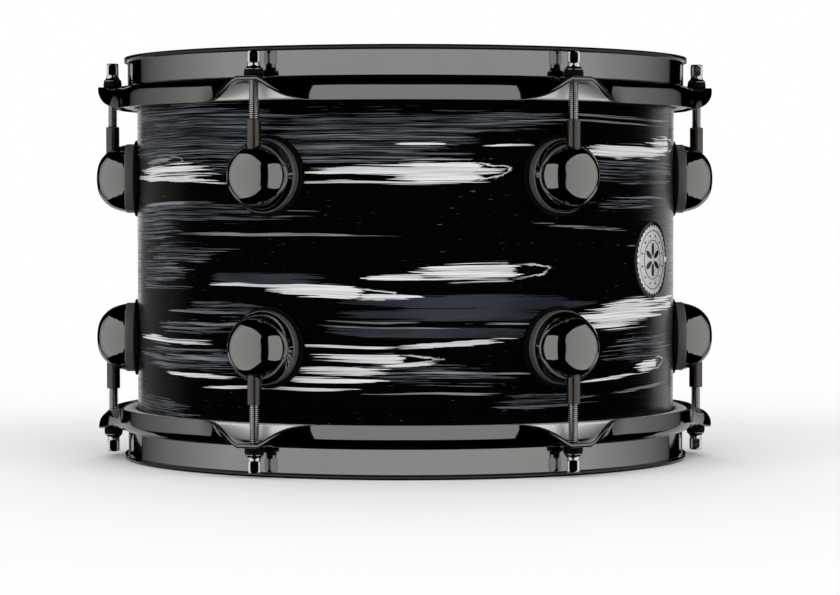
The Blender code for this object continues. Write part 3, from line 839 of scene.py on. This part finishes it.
def build_badge(mats):
    """A round badge: a black rim, a toothed silver ring, and a plain six-leaf rosette for its centre."""
    pieces = [
        raised_ring("badge_rim", BADGE_FACE_R, BADGE_R, BADGE_LOW, BADGE_LINE, mats["enamel"]),
        disc("badge_plate", 0.01755, BADGE_LOW, 0.00095, mats["badge"]),
        raised_ring("badge_teeth", 0.0164, 0.0184, BADGE_FACE, 0.00130, mats["badge"], 288,
                    wave=0.00045, teeth=36, power=0.6),
        raised_ring("badge_line_outer", 0.0157, 0.0160, BADGE_FACE, BADGE_LINE, mats["enamel"]),
        raised_ring("badge_line_inner", 0.0104, 0.0107, BADGE_FACE, BADGE_LINE, mats["enamel"]),
    ]
    for number in range(6):
        turn = math.radians(90 + 60 * number)
        outline = petal(0.0072, 0.00145, turn, 0.0019)
        pieces.append(flat_shape(f"badge_leaf_{number + 1}", outline, BADGE_FACE, BADGE_INK, mats["enamel"]))
    for number in range(12):
        turn = math.radians(15 + 30 * number)
        centre = (0.0132 * math.cos(turn), 0.0132 * math.sin(turn))
        dot = [(centre[0] + x, centre[1] + y) for x, y in ring_points(0.00055, 12)]
        pieces.append(flat_shape(f"badge_dot_{number + 1}", dot, BADGE_FACE, BADGE_INK, mats["enamel"]))
    for piece in pieces:
        place(piece, 1, BADGE_ANGLE)
        nodes = ("badge",) if piece.name == "badge_plate" else ()
        settle(piece, "drum_shell", "badge", *nodes)
    half = math.asin(BADGE_FACE_R / SHELL_R)
    seat = SHELL_R + 0.0013
    outline = filleted([
        (0, seat - 0.0049), (0.0009, seat - 0.0044, 0.0002), (0.0009, seat), (0.0017, seat, 0.0001),
        (0.0015, seat + 0.0006, 0.0004), (0, seat + 0.0009)
    ], closed=False)
    for side_name, angle in (("left", BADGE_ANGLE - half), ("right", BADGE_ANGLE + half)):
        pin = new_mesh_object(f"badge_rivet_{side_name}", lathe(outline, 24, "X", closed=False), mats["pin"])
        place(pin, 1, angle)
        settle(pin, "drum_shell", "chrome", f"badge_pin_{side_name}")


# ---------------------------------------------------------------- hoops
SHEET = 0.0023
WALL_R = SHELL_R + 0.00415
LEDGE_MID = WASHER_BOTTOM - 0.0003 - SHEET / 2
CORNER_R = WALL_R + 0.0064
SKIRT_LENGTH = 0.0113
EAR_FLAT = 0.0065
EAR_REACH = 0.038
EAR_SWEEP_POWER = 1.6
EAR_HOLE_R = 0.0033


def skirt_angle(distance):
    share = min(max((distance - EAR_FLAT) / (EAR_REACH - EAR_FLAT), 0.0), 1.0)
    return math.pi / 2 * (1 - (1 - share) ** EAR_SWEEP_POWER)


def hoop_section(hang):
    """The closed outline of the rolled sheet: rim, wall, ledge and skirt, the skirt hanging by an angle."""
    rim_mid = RIM_TOP - SHEET / 2
    corner = Vector((CORNER_R, LEDGE_MID))
    down = Vector((math.cos(hang), -math.sin(hang)))
    edge = corner + SKIRT_LENGTH * down
    line = [Vector((WALL_R + 0.0031, rim_mid))]
    line += arc_corner(line[0], Vector((WALL_R, rim_mid)), Vector((WALL_R, LEDGE_MID)), 0.0030, 8)
    line += arc_corner(Vector((WALL_R, rim_mid)), Vector((WALL_R, LEDGE_MID)), corner, 0.0016, 8)
    if hang > math.radians(1):
        line += arc_corner(Vector((WALL_R - 0.004, LEDGE_MID)), corner, edge, 0.0047, 8)
    else:
        line += [corner + Vector(((n / 8 - 0.5) * 0.004, 0)) for n in range(9)]
    line += [corner.lerp(edge, 0.75), edge]
    left, right = [], []
    for n, point in enumerate(line):
        along = (line[min(n + 1, len(line) - 1)] - line[max(n - 1, 0)]).normalized()
        normal = Vector((-along.y, along.x)) * SHEET / 2
        left.append(point + normal)
        right.append(point - normal)
    first = (line[0] - line[1]).normalized()
    last = (line[-1] - line[-2]).normalized()
    return left + rounded_end(line[-1], last) + right[::-1] + rounded_end(line[0], first)


def rounded_end(point, along):
    """The sheet's cut edge, slightly rounded: the points between its two faces."""
    normal = Vector((-along.y, along.x))
    out = []
    for turn in (60, 25, -25, -60):
        angle = math.radians(turn)
        out.append(point + along * (0.00075 * math.cos(angle) - 0.00075) + normal * (SHEET / 2 * math.sin(angle)))
    return out


def hoop_object(material):
    steps = 60
    rings = []
    for ear in ROD_ANGLES:
        for n in range(steps):
            offset = math.radians(60) * (n / steps - 0.5)
            section = hoop_section(skirt_angle(abs(offset) * CORNER_R))
            c, s = math.cos(ear + offset), math.sin(ear + offset)
            rings.append([(p.x * c, p.x * s, p.y) for p in section])
    obj = new_mesh_object("batter_flanged_hoop", skin(rings), material, sharp=50)
    holes = []
    for angle in ROD_ANGLES:
        spot = (ROD_CIRCLE * math.cos(angle), ROD_CIRCLE * math.sin(angle), 0)
        holes.append(cylinder_between(EAR_HOLE_R, LEDGE_MID - 0.004, LEDGE_MID + 0.004, 32,
                                      Matrix.Translation(spot)))
    return cut(obj, holes)


def build_hoops(mats):
    batter = hoop_object(mats["hoop"])
    resonant = copy_of(batter, "resonant_flanged_hoop")
    for obj, (name, side) in zip((batter, resonant), SIDES.items()):
        place(obj, side)
        settle(obj, f"{name}_rim", "black_nickel", f"{name}_hoop")
    return [batter, resonant]


# ---------------------------------------------------------------- heads
def build_heads(mats):
    film_low = EDGE_TOP + 0.0003
    thick = 0.0004
    inner = [
        (0, film_low), (PLY_R - 0.0016, film_low, 0.0012), (SHELL_R + 0.0007, EDGE_TOP - 0.0030, 0.0010),
        (SHELL_R + 0.0010, FLESH_TOP + 0.0002),
    ]
    under = filleted(inner, closed=False, steps=6)
    over = []
    for n, point in enumerate(under):
        along = (under[min(n + 1, len(under) - 1)] - under[max(n - 1, 0)]).normalized()
        over.append(point + Vector((-along.y, along.x)) * thick if n else point + Vector((0, thick)))
    stations = [Vector((share * (PLY_R - 0.004), film_low)) for share in (0.2, 0.4, 0.6, 0.8, 0.95)]
    under = [under[0], *stations, *under[1:]]
    over = [over[0], *[p + Vector((0, thick)) for p in stations], *over[1:]]
    flesh = filleted([
        (SHELL_R + 0.0012, FLESH_TOP, 0.0004), (SHELL_R + 0.0012, FLESH_BOTTOM, 0.0008),
        (SHELL_R + 0.0079, FLESH_BOTTOM, 0.0012), (SHELL_R + 0.0079, FLESH_TOP, 0.0012),
    ])
    for name, side in SIDES.items():
        film = new_mesh_object(f"{name}_head_film", lathe(under + over[::-1], 192, closed=False),
                               mats[f"{name}_film"])
        place(film, side)
        settle(film, f"{name}_rim", f"{name}_film", f"{name}_film")
        ring = new_mesh_object(f"{name}_head_ring", lathe(flesh, 192), mats["aluminium"])
        place(ring, side)
        settle(ring, f"{name}_rim", "aluminium", f"{name}_flesh_hoop")


# ---------------------------------------------------------------- lugs
GASKET_R = 0.02135
GASKET_THICK = 0.0015
LUG_R = 0.01935
COLLAR = 0.0062
# The dome past the crease, as (depth, radius) in millimetres from the shell and from the lug's own axis.
DOME = ((7.0, 18.85), (10, 18.15), (12, 17.5), (14, 16.7), (16, 15.6), (18, 13.95), (20, 11.7), (21, 10.1),
        (22, 7.9), (22.7, 5.0), (23.0, 2.4), (23.1, 0))


def smooth_curve(points, steps):
    """A Catmull-Rom curve through points."""
    out = []
    for n in range(len(points) - 1):
        a = points[max(n - 1, 0)]
        b, c = points[n], points[n + 1]
        d = points[min(n + 2, len(points) - 1)]
        for k in range(steps):
            t = k / steps
            out.append(0.5 * (2 * b + (c - a) * t + (2 * a - 5 * b + 4 * c - d) * t * t
                              + (3 * b - a - 3 * c + d) * t ** 3))
    return out + [points[-1]]


def lug_objects(plating, satin):
    """The casting's dome, and the collar under it, whose back follows the shell's curve."""
    scale = LUG_REACH / (DOME[-1][0] * MM)
    dome = smooth_curve([Vector((r, d * scale)) * MM for d, r in DOME], 3)
    foot = Vector((0, COLLAR - 0.0005)), Vector((dome[0].x, COLLAR - 0.0005))
    collar = filleted([
        (0, -0.001), (LUG_R - 0.003, -0.001), (LUG_R - 0.003, GASKET_THICK + 0.00005),
        (LUG_R, GASKET_THICK + 0.00005, 0.0004), (LUG_R, COLLAR, 0.0004),
        (LUG_R - 0.0005, COLLAR + 0.0004, 0.0002), (dome[0].x - 0.0004, COLLAR + 0.0004), (0, COLLAR + 0.0004)
    ], closed=False)
    bore = cylinder_between(0.0041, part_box("batter_receiver_1")[0].z - MIDDLE - LUG_HEIGHT, 0.03, 32,
                            Matrix.Translation((ROD_CIRCLE, 0, 0)))
    shell = cylinder_between(SHELL_R + 0.0004, -0.03, 0.03, 288, Matrix.Identity(4))
    made = []
    for name, outline, material in (("lug", [*foot, *dome], plating), ("collar", collar, satin)):
        raised = [Vector((p.x, p.y + SHELL_R)) for p in outline]
        made.append(new_mesh_object(name, lathe(raised, 96, "X", closed=False), material))
    return cut(made[0], [bore]), cut(made[1], [shell])


def gasket_object(material):
    outline = filleted([
        (LUG_R - 0.0025, -0.001), (GASKET_R, -0.001), (GASKET_R, GASKET_THICK, 0.0006),
        (LUG_R - 0.0025, GASKET_THICK)
    ])
    outline = [(p.x, p.y + SHELL_R) for p in outline]
    obj = new_mesh_object("gasket", lathe(outline, 96, "X"), material)
    return cut(obj, [cylinder_between(SHELL_R + 0.0002, -0.03, 0.03, 288, Matrix.Identity(4))])


def receiver_object(material):
    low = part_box("batter_receiver_1")[0].z - MIDDLE
    outline = filleted([
        (0.00275, RECEIVER_TOP, 0.0003), (0.00275, low), (0.0037, low), (0.0037, RECEIVER_TOP, 0.0003)
    ], steps=3)
    return new_mesh_object("receiver", lathe(outline, 48), material)


def screw_object(material):
    """The screw and washer that hold a lug, inside the shell."""
    seat = PLY_R - 0.0054 - 0.0009
    head = seat - 0.0013
    outline = filleted([
        (0.0022, seat + 0.012), (0.0022, seat), (0.0075, seat + 0.0002, 0.0003), (0.0075, head, 0.0003),
        (0.0048, head, 0.0001), (0.0048, head - 0.0020, 0.0010), (0.0036, head - 0.0032, 0.0008),
        (0.0012, head - 0.0034),
    ], closed=False)
    outline = [Vector((0, seat + 0.012)), *outline, Vector((0, head - 0.0026))]
    return new_mesh_object("lug_screw", lathe(outline, 24, "X", closed=False), material)


# ---------------------------------------------------------------- rods and washers
KEY = 0.25 * INCH
THREAD_R = 0.00270
THREAD_DEPTH = 0.00055
SHANK = 0.0035


def thread_rings(low, high, around=16, rows=6):
    """Rings of a right-hand thread from high to low, its depth fading in over the last turn at each end."""
    count = round((high - low) / THREAD_PITCH * rows)
    rings = []
    for row in range(count + 1):
        z = high - (high - low) * row / count
        fade = min((high - z) / THREAD_PITCH, (z - low) / THREAD_PITCH, 1.0)
        ring = []
        for n in range(around):
            angle = 2 * math.pi * n / around
            phase = (z / THREAD_PITCH - angle / (2 * math.pi)) % 1.0
            groove = abs(2 * phase - 1)
            groove = min(max((groove - 0.12) / 0.76, 0.0), 1.0)
            radius = THREAD_R - THREAD_DEPTH * groove * fade
            ring.append((radius * math.cos(angle), radius * math.sin(angle), z))
        rings.append(ring)
    return rings


def head_rings(seat, around=64):
    """Rings of the collar's bell and the square key above it, from the seat up.

    The key is a square prism cut by a round profile, so its faces have arched tops and feet."""
    top = (ROD_TOP - seat) / MM
    bell = smooth_curve([Vector(p) for p in ((5.05, 0.25), (4.6, 0.7), (3.9, 1.35), (3.5, 2.1), (3.2, 3.3))], 3)
    levels = [(0.001, 0.1), (5.0, 0.1), *[(p.x, p.y) for p in bell]]
    for turn in (20, 45, 70, 90):
        a = math.radians(turn)
        levels.append((3.2 + 0.8 * math.sin(a), 3.3 + 0.9 * (1 - math.cos(a))))
    for turn in range(0, 91, 15):
        a = math.radians(turn)
        levels.append((2.4 + 1.6 * math.cos(a), top - 1.9 + 1.9 * math.sin(a)))
    levels.append((0.001, top))
    rings = []
    for radius, height in levels:
        ring = []
        for n in range(around):
            angle = 2 * math.pi * (n + 0.5) / around
            flat = KEY / 2 / MM / max(abs(math.cos(angle)), abs(math.sin(angle)))
            reach = min(radius, flat) if height > 3.2 else radius
            ring.append((reach * MM * math.cos(angle), reach * MM * math.sin(angle), seat + height * MM))
        rings.append(ring)
    return rings


def rod_object(material):
    """A tension rod: threaded shaft, bell collar and square key head."""
    seat = WASHER_TOP
    around = 16
    bm = bmesh.new()

    def circle(radius, z):
        return [(radius * math.cos(2 * math.pi * n / around), radius * math.sin(2 * math.pi * n / around), z)
                for n in range(around)]

    rings = [circle(THREAD_R - 0.0003, seat + 0.0001), circle(THREAD_R - 0.0003, seat - SHANK)]
    rings += thread_rings(ROD_TIP + 0.0006, seat - SHANK - 0.0004)
    rings += [circle(THREAD_R - 0.0008, ROD_TIP), circle(0.00001, ROD_TIP)]
    loops = [[bm.verts.new(p) for p in ring] for ring in rings]
    for one, other in zip(loops, loops[1:]):
        for n in range(around):
            bm.faces.new((one[n], one[n - 1], other[n - 1], other[n]))
    bm.faces.new(loops[0])
    shaft = new_mesh_object("shaft", bm, material)
    head = new_mesh_object("head", skin(head_rings(seat), close_along=False), material)
    joined = bmesh.new()
    for part in (shaft, head):
        joined.from_mesh(part.data)
        bpy.data.objects.remove(part)
    return new_mesh_object("rod", joined, material)


def washer_object(material):
    outline = filleted([
        (0.0028, WASHER_BOTTOM - 0.0002, 0.0002), (0.00515, WASHER_BOTTOM - 0.0002, 0.0005),
        (0.00515, WASHER_TOP - 0.0008, 0.0003), (0.0049, WASHER_TOP - 0.0007, 0.0001),
        (0.0049, WASHER_TOP + 0.0001, 0.0003), (0.0028, WASHER_TOP + 0.0001, 0.0002)
    ], steps=3)
    return new_mesh_object("washer", lathe(outline, 48), material)


def build_hardware(mats):
    lug, collar = lug_objects(mats["lug"], mats["collar"])
    gasket, receiver = gasket_object(mats["gasket"]), receiver_object(mats["receiver"])
    screw, rod, washer = screw_object(mats["chrome"]), rod_object(mats["rod"]), washer_object(mats["washer"])
    for name, side in SIDES.items():
        rim = f"{name}_rim"
        for number, angle in enumerate(ROD_ANGLES, 1):
            jobs = (
                (lug, "turret_lug", "drum_shell", "black_nickel", 0, LUG_HEIGHT, "lug"),
                (collar, "lug_collar", "drum_shell", "black_nickel", 0, LUG_HEIGHT, None),
                (gasket, "lug_gasket", "drum_shell", "washer", 0, LUG_HEIGHT, None),
                (screw, "lug_screw", "drum_shell", "chrome", 0, LUG_HEIGHT, None),
                (receiver, "threaded_receiver", "drum_shell", "receiver", ROD_CIRCLE, 0, "receiver"),
                (washer, "rod_washer", rim, "washer", ROD_CIRCLE, 0, "washer"),
                (rod, "key_rod", f"{name}_rod_{number}", "chrome", ROD_CIRCLE, 0, "tension_rod"),
            )
            for source, title, body, slot, radius, height, node in jobs:
                piece = copy_of(source, f"{name}_{title}_{number}")
                place(piece, side, angle, radius, height)
                if source is rod:
                    piece.matrix_world @= Matrix.Rotation(-side * angle, 4, "Z")
                nodes = (f"{name}_{node}_{number}",) if node else ()
                settle(piece, body, slot, *nodes)
    for source in (lug, collar, gasket, receiver, screw, rod, washer):
        bpy.data.objects.remove(source)


# ---------------------------------------------------------------- studio
CAMERA_AZIMUTH = math.radians(-1.74)
CAMERA_DISTANCE = 1.639
CAMERA_HEIGHT = 0.1377
CAMERA_PAN = math.radians(0.284)
CAMERA_TILT = math.radians(1.70)
CAMERA_LENS = 124.2
PANEL_RADIANCE = 0.85
LUG_FADES = ((-2.0, 0.2, 0.72, 1.0), (0.2, 1.2, 1.0, 0.45))
SIDE_FADES = ((-0.39, 0.84, 1.0, 0.12),)


def dim_across(light, fades):
    """Dims a softbox evenly along the drum's Y. Each fade is where it starts and ends and its share at each."""
    light.data.use_nodes = True
    n = Nodes(light.data.node_tree)
    split = n.add("ShaderNodeSeparateXYZ")
    n.wire(n.add("ShaderNodeNewGeometry").outputs["Position"], split.inputs[0])
    strength = 1.0
    for low, high, at_low, at_high in fades:
        strength = n.math("MULTIPLY", strength, n.range(split.outputs[1], low, high, at_low, at_high, smooth=False))
    n.wire(strength, light.data.node_tree.nodes["Emission"].inputs["Strength"])


def softbox(name, azimuth, spread, rise, radiance, receivers, distance=1.2, lift=0, fades=()):
    """A flat softbox facing the drum's middle, for mirrors only and for some of the pieces only.

    Its azimuth is from the camera's side, its spread and rise are the half angles it fills, and its
    lift is how far its middle is above the drum's, in degrees."""
    turn = math.radians(azimuth) + CAMERA_AZIMUTH
    height = MIDDLE + distance * math.tan(math.radians(lift))
    spot = Vector((distance * math.sin(turn), -distance * math.cos(turn), height))
    data = bpy.data.lights.new(name, "AREA")
    data.shape = "RECTANGLE"
    width, length = (2 * distance * math.tan(math.radians(angle)) for angle in (spread, rise))
    data.size, data.size_y = width, length
    data.energy = radiance * math.pi * width * length
    light = bpy.data.objects.new(name, data)
    bpy.context.scene.collection.objects.link(light)
    light.location = spot
    light.rotation_euler = (Vector((0, 0, MIDDLE)) - spot).to_track_quat("-Z", "Y").to_euler()
    light.visible_camera = light.visible_diffuse = light.visible_transmission = False
    light.light_linking.receiver_collection = receivers
    if fades:
        dim_across(light, fades)


def lit_group(name, objects):
    group = bpy.data.collections.new(name)
    for obj in objects:
        group.objects.link(obj)
    return group


def lug_side(lug):
    """-1 for a lug on the left of the drum, 1 for one on the right: a lug's mesh lies along its own X."""
    return math.copysign(1, lug.matrix_world.col[0].x)


def build_softboxes(hoops, wrap):
    """Softboxes for the fittings, the hoops and the finish, each seen only in its own pieces' mirrors."""
    pieces = [obj for obj in bpy.context.scene.objects if obj.type == "MESH" and obj.name != "floor"]
    fittings = lit_group("lit_fittings", [obj for obj in pieces if obj not in (*hoops, wrap)])
    lugs = [obj for obj in pieces if "turret_lug" in obj.name]
    side_lugs = lit_group("lit_side_lugs", [obj for obj in lugs if abs(obj.matrix_world.col[0].x) > 0.9])
    flanges = lit_group("lit_hoops", hoops)
    finish = lit_group("lit_finish", [wrap])
    for name, hand in (("left", -1), ("right", 1)):
        far = lit_group(f"lit_far_lugs_{name}", [obj for obj in lugs if lug_side(obj) == -hand])
        near = lit_group(f"lit_near_{name}", [obj for obj in fittings.objects if obj not in far.objects.values()])
        softbox(f"near_{name}", hand * 70, 55, 50, PANEL_RADIANCE, near, fades=LUG_FADES)
        softbox(f"across_{name}", hand * 39.5, 26, 36, PANEL_RADIANCE * 0.9, far)
        softbox(f"across_dim_{name}", hand * 87, 16, 50, 0.30, far)
        softbox(f"across_line_{name}", hand * 75, 1.2, 50, 0.50, far, 1.1)
        softbox(f"hoop_side_{name}", hand * 102, 30, 24, 0.87, flanges, 1.093, fades=SIDE_FADES)
        softbox(f"edge_glow_{name}", hand * 166, 6, 14, 0.6, fittings, 3.0)
        softbox(f"hoop_edge_glow_{name}", hand * 166, 5, 8, 0.15, flanges, 3.0)
    softbox("side_lug_front", 0, 12, 31, PANEL_RADIANCE, side_lugs, 2.4)
    for azimuth, spread, radiance in ((-160, 11, 1.5), (-126, 22, 0.42), (150, 26, 1.3)):
        softbox(f"finish_{azimuth}", azimuth, spread, 45, radiance, finish)
    softbox("rear_fittings", 180, 48, 17, 0.5, fittings, lift=-26)
    for name, rise, lift in (("batter", 14, -12), ("resonant", 17, -26)):
        hoop = lit_group(f"lit_{name}_hoop", [obj for obj in hoops if obj.name.startswith(name)])
        softbox(f"rear_{name}_hoop", 180, 48, rise, 0.5, hoop, lift=lift)
    for number in range(4):
        softbox(f"hoops_front_{number}", (number - 1.5) * 36, 18, 22, PANEL_RADIANCE, flanges)


def build_world():
    """White to the camera, a soft even light on matt surfaces, and black to mirrors."""
    world = bpy.data.worlds.new("studio")
    bpy.context.scene.world = world
    world.use_nodes = True
    n = Nodes(world.node_tree)
    path = n.add("ShaderNodeLightPath").outputs
    soft = n.math("MULTIPLY", path["Is Diffuse Ray"], 0.5)
    background = world.node_tree.nodes["Background"]
    background.inputs["Color"].default_value = (1, 1, 1, 1)
    n.wire(n.math("MAXIMUM", path["Is Camera Ray"], soft), background.inputs["Strength"])


def build_floor():
    bm = bmesh.new()
    bmesh.ops.create_grid(bm, x_segments=1, y_segments=1, size=40)
    material, _, shader = new_material("pale_floor", (0.86, 0.86, 0.86), 0.9)
    shader.inputs["Specular IOR Level"].default_value = 0.0
    floor = new_mesh_object("floor", bm, material)
    floor.visible_glossy = False
    floor.visible_shadow = False


def build_suns():
    """Soft key lights on the matt surfaces, from the front and, weaker, from behind."""
    for name, azimuth, elevation, strength in (
        ("key_left", -45, 35, 0.88), ("key_right", 45, 35, 0.88), ("rear", 180, 45, 0.72), ("top", 0, 88, 0.56)
    ):
        data = bpy.data.lights.new(name, "SUN")
        data.energy = strength
        data.angle = math.radians(50)
        sun = bpy.data.objects.new(name, data)
        bpy.context.scene.collection.objects.link(sun)
        a, e = math.radians(azimuth), math.radians(elevation)
        toward = Vector((math.sin(a) * math.cos(e), -math.cos(a) * math.cos(e), math.sin(e)))
        sun.rotation_euler = toward.to_track_quat("Z", "Y").to_euler()
        sun.visible_glossy = False


def build_camera():
    data = bpy.data.cameras.new("camera")
    data.lens = CAMERA_LENS
    data.sensor_width = 36.0
    data.clip_end = 100
    camera = bpy.data.objects.new("camera", data)
    bpy.context.scene.collection.objects.link(camera)
    a = CAMERA_AZIMUTH
    camera.location = (CAMERA_DISTANCE * math.sin(a), -CAMERA_DISTANCE * math.cos(a), CAMERA_HEIGHT)
    forward = Vector((
        -math.sin(a - CAMERA_PAN) * math.cos(CAMERA_TILT),
        math.cos(a - CAMERA_PAN) * math.cos(CAMERA_TILT),
        -math.sin(CAMERA_TILT),
    ))
    camera.rotation_euler = forward.to_track_quat("-Z", "Y").to_euler()
    bpy.context.scene.camera = camera


def build_materials():
    return {
        "finish": finish_material(),
        "maple": maple_material(),
        "black_nickel": plated_material("black_nickel", (0.285, 0.280, 0.270), 0.05),
        "hoop": hoop_material(),
        "lug": plated_material("lug_black_nickel", (0.262, 0.257, 0.248), 0.05),
        "collar": collar_material(),
        "chrome": plated_material("chrome", (0.80, 0.80, 0.81), 0.06, 0.05),
        "rod": rod_chrome_material(),
        "receiver": plated_material("receiver_nickel", (0.118, 0.103, 0.093), 0.24, 0.1),
        "washer": rubber_material("black_nylon", (0.003, 0.003, 0.003), 0.45),
        "gasket": rubber_material("black_gasket", (0.002, 0.002, 0.002), 0.6),
        "aluminium": aluminium_material(),
        "batter_film": coated_film_material(),
        "resonant_film": clear_film_material(),
        "badge": silver_material("badge_silver", (0.55, 0.55, 0.57), (0.70, 0.70, 0.72)),
        "pin": silver_material("pin_nickel", (0.80, 0.73, 0.68), (0.92, 0.87, 0.82)),
        "enamel": enamel_material(),
    }


build_camera()
build_world()
build_floor()
build_suns()
mats = build_materials()
wrap = build_shell(mats)
build_vent(mats)
build_badge(mats)
hoops = build_hoops(mats)
build_heads(mats)
build_hardware(mats)
bpy.context.view_layer.update()
build_softboxes(hoops, wrap)
bpy.context.scene.view_settings.view_transform = "Standard"
